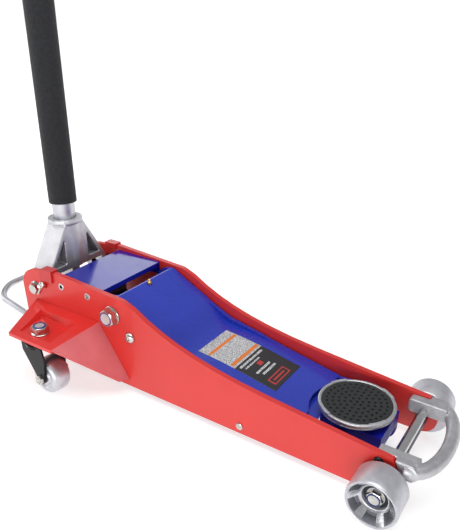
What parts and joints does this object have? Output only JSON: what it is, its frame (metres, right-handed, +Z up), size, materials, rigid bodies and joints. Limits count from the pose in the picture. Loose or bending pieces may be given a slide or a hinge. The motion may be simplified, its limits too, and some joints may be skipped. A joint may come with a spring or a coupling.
{
  "type": "hydraulic floor jack",
  "caption": "Low-profile hydraulic floor jack with red side plates, blue lift arm, round padded saddle, swivel casters, front loop handle and folding pump handle.",
  "frame": {"origin": "centre of the part's box in plan, on the floor under the wheels", "axes": "+X forward towards the saddle and the front wheels, +Y left, +Z up"},
  "size_m": [0.8904, 0.367, 1.2934],
  "materials": {
    "red_plate": "gloss powder coat, coral red",
    "red_wing": "gloss powder coat, coral red",
    "red_clip": "gloss powder coat, red",
    "blue_paint": "gloss royal blue paint",
    "cast_aluminium": "sand-cast and tumbled, satin",
    "machined_aluminium": "turned, satin",
    "zinc_steel": "zinc plated",
    "chrome_steel": "polished plate",
    "black_steel": "gloss black",
    "dark_steel": "dark oxide",
    "unit_paint": "dark grey paint",
    "rubber": "moulded, matt",
    "foam": "closed-cell foam, matt",
    "brass": "bare brass"
  },
  "bodies": {
    "chassis": {"side_plate_left": "red_plate", "side_plate_right": "red_plate", "caster_wing_left": "red_wing", "caster_wing_right": "red_wing", "front_axle": "dark_steel", "arm_shaft": "zinc_steel", "low_tie_bar": "dark_steel", "arm_shaft_nut_left": "zinc_steel", "arm_shaft_nut_right": "zinc_steel", "axle_nut_left": "zinc_steel", "axle_nut_right": "zinc_steel", "level_link_bolt_left": "zinc_steel", "level_link_bolt_right": "zinc_steel", "handle_bolt_left": "black_steel", "handle_bolt_right": "black_steel", "rear_cover": "blue_paint", "yoke_clip_left": "red_clip", "yoke_clip_right": "red_clip", "clip_screw_left": "zinc_steel", "clip_screw_right": "zinc_steel", "cover_screw_1_left": "zinc_steel", "cover_screw_1_right": "zinc_steel", "cover_screw_2_left": "zinc_steel", "cover_screw_2_right": "zinc_steel", "front_handle": "cast_aluminium", "front_tie_rod": "chrome_steel", "rear_loop": "zinc_steel", "power_unit": "unit_paint", "yoke_bolt_left": "zinc_steel", "yoke_bolt_right": "zinc_steel"},
    "lift_arm": {"lift_arm": "blue_paint", "crank_pin": "zinc_steel", "saddle_pin": "zinc_steel", "grease_fitting": "brass"},
    "saddle_bracket": {"saddle_bracket": "blue_paint"},
    "saddle": {"saddle_cup": "cast_aluminium", "saddle_pad": "rubber"},
    "level_links": {"level_link_left": "dark_steel", "level_link_right": "dark_steel", "level_link_pin": "zinc_steel"},
    "ram": {"ram": "chrome_steel"},
    "yoke": {"handle_yoke": "cast_aluminium"},
    "handle": {"handle_lower_tube": "chrome_steel", "foam_sleeve": "foam", "handle_upper_tube": "chrome_steel", "handle_grip": "rubber"},
    "pump_plunger": {"pump_plunger": "chrome_steel"},
    "release_spindle": {"release_spindle": "zinc_steel"},
    "front_wheel_left": {"front_wheel_left": "machined_aluminium"},
    "front_wheel_right": {"front_wheel_right": "machined_aluminium"},
    "caster_left": {"caster_race_left": "zinc_steel", "caster_fork_left": "black_steel", "caster_axle_left": "zinc_steel", "caster_nut_left": "zinc_steel"},
    "caster_wheel_left": {"caster_wheel_left": "machined_aluminium"},
    "caster_right": {"caster_race_right": "zinc_steel", "caster_fork_right": "black_steel", "caster_axle_right": "zinc_steel", "caster_nut_right": "zinc_steel"},
    "caster_wheel_right": {"caster_wheel_right": "machined_aluminium"}
  },
  "joints": [
    {"name": "arm_lift", "type": "hinge", "parent": "chassis", "child": "lift_arm", "pos_m": [-0.10056, 0, 0.1368], "axis": [0, -1, 0], "range_deg": [0, 60]},
    {"name": "saddle_level", "type": "hinge", "parent": "lift_arm", "child": "saddle_bracket", "pos_m": [0.29374, 0, 0.046], "axis": [0, -1, 0], "range_deg": [-60, 0]},
    {"name": "saddle_spin", "type": "hinge", "parent": "saddle_bracket", "child": "saddle", "pos_m": [0.29974, 0, 0.06], "axis": [0, 0, 1], "continuous": true},
    {"name": "level_link_swing", "type": "hinge", "parent": "chassis", "child": "level_links", "pos_m": [-0.06216, 0, 0.1078], "axis": [0, -1, 0], "range_deg": [0, 60]},
    {"name": "ram_slide", "type": "slide", "parent": "chassis", "child": "ram", "axis": [1, 0, 0], "range_m": [0, 0.0701]},
    {"name": "yoke_swing", "type": "hinge", "parent": "chassis", "child": "yoke", "pos_m": [-0.28496, 0, 0.1374], "axis": [0, -1, 0], "range_deg": [0, 78]},
    {"name": "handle_twist", "type": "hinge", "parent": "yoke", "child": "handle", "pos_m": [-0.28496, 0, 0.1374], "axis": [-0.0288, 0, 0.9996], "range_deg": [0, 90]},
    {"name": "pump_stroke", "type": "slide", "parent": "chassis", "child": "pump_plunger", "axis": [1, 0, 0], "range_m": [0, 0.017]},
    {"name": "release_turn", "type": "hinge", "parent": "chassis", "child": "release_spindle", "pos_m": [-0.23426, 0.03, 0.118], "axis": [1, 0, 0], "range_deg": [0, 90]},
    {"name": "front_wheel_spin_left", "type": "hinge", "parent": "chassis", "child": "front_wheel_left", "pos_m": [0.37774, 0.114, 0.036], "axis": [0, 1, 0], "continuous": true},
    {"name": "front_wheel_spin_right", "type": "hinge", "parent": "chassis", "child": "front_wheel_right", "pos_m": [0.37774, -0.114, 0.036], "axis": [0, 1, 0], "continuous": true},
    {"name": "caster_swivel_left", "type": "hinge", "parent": "chassis", "child": "caster_left", "pos_m": [-0.20226, 0.1515, 0.09], "axis": [0, 0, 1], "continuous": true},
    {"name": "caster_wheel_spin_left", "type": "hinge", "parent": "caster_left", "child": "caster_wheel_left", "pos_m": [-0.18329, 0.15249, 0.031], "axis": [-0.0523, 0.9986, 0], "continuous": true},
    {"name": "caster_swivel_right", "type": "hinge", "parent": "chassis", "child": "caster_right", "pos_m": [-0.20226, -0.1515, 0.09], "axis": [0, 0, 1], "continuous": true},
    {"name": "caster_wheel_spin_right", "type": "hinge", "parent": "caster_right", "child": "caster_wheel_right", "pos_m": [-0.18329, -0.15249, 0.031], "axis": [0.0523, 0.9986, 0], "continuous": true}
  ],
  "couplings": [
    {"joint": "saddle_level", "follows": "arm_lift", "ratio": -1},
    {"joint": "level_link_swing", "follows": "arm_lift", "ratio": 1},
    {"joint": "ram_slide", "follows": "arm_lift", "m_per_rad": 0.066845},
    {"joint": "pump_stroke", "follows": "yoke_swing", "m_per_rad": 0.012},
    {"joint": "release_turn", "follows": "handle_twist", "ratio": 1}
  ]
}
